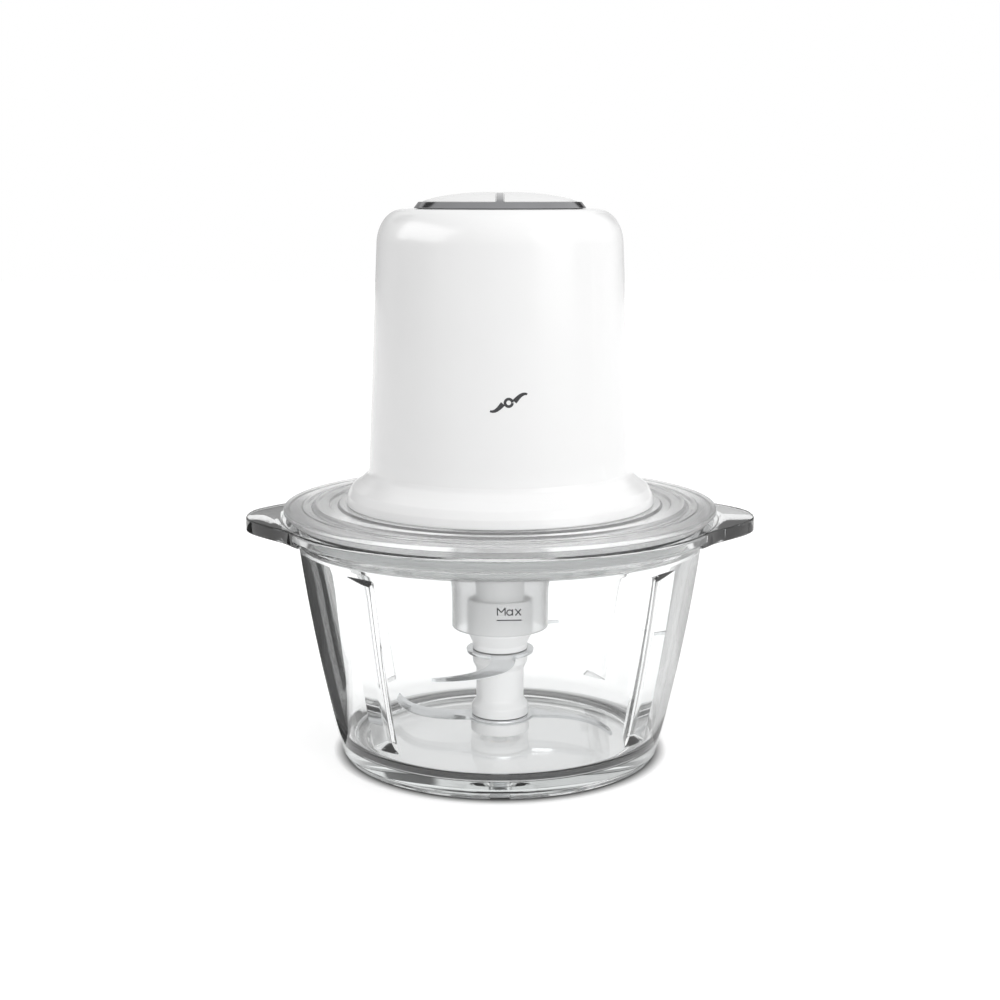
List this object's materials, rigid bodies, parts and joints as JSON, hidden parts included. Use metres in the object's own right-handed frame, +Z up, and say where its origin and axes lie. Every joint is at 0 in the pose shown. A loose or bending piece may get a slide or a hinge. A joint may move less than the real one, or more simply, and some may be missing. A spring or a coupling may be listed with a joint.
{
  "type": "food processor",
  "caption": "Compact food chopper: glass bowl with side ears and inner ribs, clear lid, lift-off white motor unit with push buttons, and a stacked rotating blade.",
  "frame": {"origin": "centre of the bowl's foot ring, on the plane it stands on", "axes": "+Z up along the axis of the bowl, blades and motor; -Y is the front, with the fill mark; the bowl's ears point along +X and -X"},
  "size_m": [0.223, 0.192, 0.2451],
  "materials": {
    "clear_glass": "clear, polished",
    "clear_plastic": "clear, moulded gloss",
    "silicone": "translucent silicone, satin",
    "white_gloss": "high gloss white",
    "white_satin": "satin white",
    "chrome": "bright plated",
    "blade_steel": "ground stainless steel",
    "core_steel": "dull lamination steel",
    "winding_copper": "lacquered copper wire",
    "brass": "machined brass or bronze",
    "carbon": "pressed carbon",
    "black_plastic": "satin black",
    "grey_plastic": "satin grey",
    "gear_nylon": "natural nylon, satin",
    "board_green": "green laminate",
    "capacitor_yellow": "yellow film capacitor",
    "black_rubber": "matt black rubber"
  },
  "bodies": {
    "bowl_body": {"bowl": "clear_glass", "bowl_spindle": "blade_steel"},
    "lid_body": {"lid": "clear_plastic", "lid_gasket": "silicone"},
    "motor_unit": {"motor_housing": "white_gloss", "base_collar": "white_gloss", "bezel_ring": "chrome", "button_divider": "chrome", "base_plate": "white_satin", "gearbox_housing": "grey_plastic", "ring_gear": "gear_nylon", "output_bearing": "blade_steel", "shaft_seal": "black_rubber", "motor_bearing_lower": "brass", "motor_bearing_upper": "brass", "stator_core": "core_steel", "field_coil_left": "winding_copper", "field_coil_right": "winding_copper", "end_bracket": "grey_plastic", "brush_holder_left": "brass", "brush_holder_right": "brass", "carbon_brush_left": "carbon", "carbon_brush_right": "carbon", "control_board": "board_green", "suppression_capacitor": "capacitor_yellow", "switch_plate": "grey_plastic", "microswitch_left": "black_plastic", "microswitch_right": "black_plastic", "cord_gland": "black_rubber", "base_screw_1": "blade_steel", "base_screw_2": "blade_steel", "base_screw_3": "blade_steel", "base_screw_4": "blade_steel", "button_spring_left": "blade_steel", "button_spring_right": "blade_steel"},
    "left_button": {"button_left": "white_gloss"},
    "right_button": {"button_right": "white_gloss"},
    "rotor": {"motor_shaft": "blade_steel", "armature_core": "core_steel", "winding_top": "winding_copper", "winding_bottom": "winding_copper", "commutator": "brass", "cooling_fan": "black_plastic", "sun_gear": "brass"},
    "drive": {"planet_carrier": "core_steel", "output_shaft": "blade_steel", "drive_coupler": "white_satin"},
    "planet_1": {"planet_gear_1": "gear_nylon"},
    "planet_2": {"planet_gear_2": "gear_nylon"},
    "planet_3": {"planet_gear_3": "gear_nylon"},
    "blade": {"blade_hub": "white_satin", "hub_bush": "brass", "lower_blade": "blade_steel", "upper_blade": "blade_steel"}
  },
  "joints": [
    {"name": "lid_lift", "type": "slide", "parent": "bowl_body", "child": "lid_body", "axis": [0, 0, 1], "range_m": [0, 0.07]},
    {"name": "motor_lift", "type": "slide", "parent": "lid_body", "child": "motor_unit", "axis": [0, 0, 1], "range_m": [0, 0.07]},
    {"name": "button_left_press", "type": "slide", "parent": "motor_unit", "child": "left_button", "axis": [0, 0, -1], "range_m": [0, 0.0025], "stiffness_N_per_m": 900, "springref_m": -0.0015, "deforming": ["button_spring_left"]},
    {"name": "button_right_press", "type": "slide", "parent": "motor_unit", "child": "right_button", "axis": [0, 0, -1], "range_m": [0, 0.0025], "stiffness_N_per_m": 900, "springref_m": -0.0015, "deforming": ["button_spring_right"]},
    {"name": "rotor_spin", "type": "hinge", "parent": "motor_unit", "child": "rotor", "pos_m": [0, 0, 0.17], "axis": [0, 0, 1], "continuous": true},
    {"name": "drive_spin", "type": "hinge", "parent": "motor_unit", "child": "drive", "pos_m": [0, 0, 0.11], "axis": [0, 0, 1], "continuous": true},
    {"name": "blade_spin", "type": "hinge", "parent": "bowl_body", "child": "blade", "pos_m": [0, 0, 0.03], "axis": [0, 0, 1], "continuous": true},
    {"name": "planet_1_spin", "type": "hinge", "parent": "drive", "child": "planet_1", "pos_m": [0, 0.015, 0.125], "axis": [0, 0, 1], "continuous": true},
    {"name": "planet_2_spin", "type": "hinge", "parent": "drive", "child": "planet_2", "pos_m": [-0.01299, -0.0075, 0.125], "axis": [0, 0, 1], "continuous": true},
    {"name": "planet_3_spin", "type": "hinge", "parent": "drive", "child": "planet_3", "pos_m": [0.01299, -0.0075, 0.125], "axis": [0, 0, 1], "continuous": true}
  ],
  "couplings": [
    {"joint": "drive_spin", "follows": "rotor_spin", "ratio": 0.2},
    {"joint": "blade_spin", "follows": "rotor_spin", "ratio": 0.2},
    {"joint": "planet_1_spin", "follows": "rotor_spin", "ratio": -0.53333},
    {"joint": "planet_2_spin", "follows": "rotor_spin", "ratio": -0.53333},
    {"joint": "planet_3_spin", "follows": "rotor_spin", "ratio": -0.53333}
  ]
}
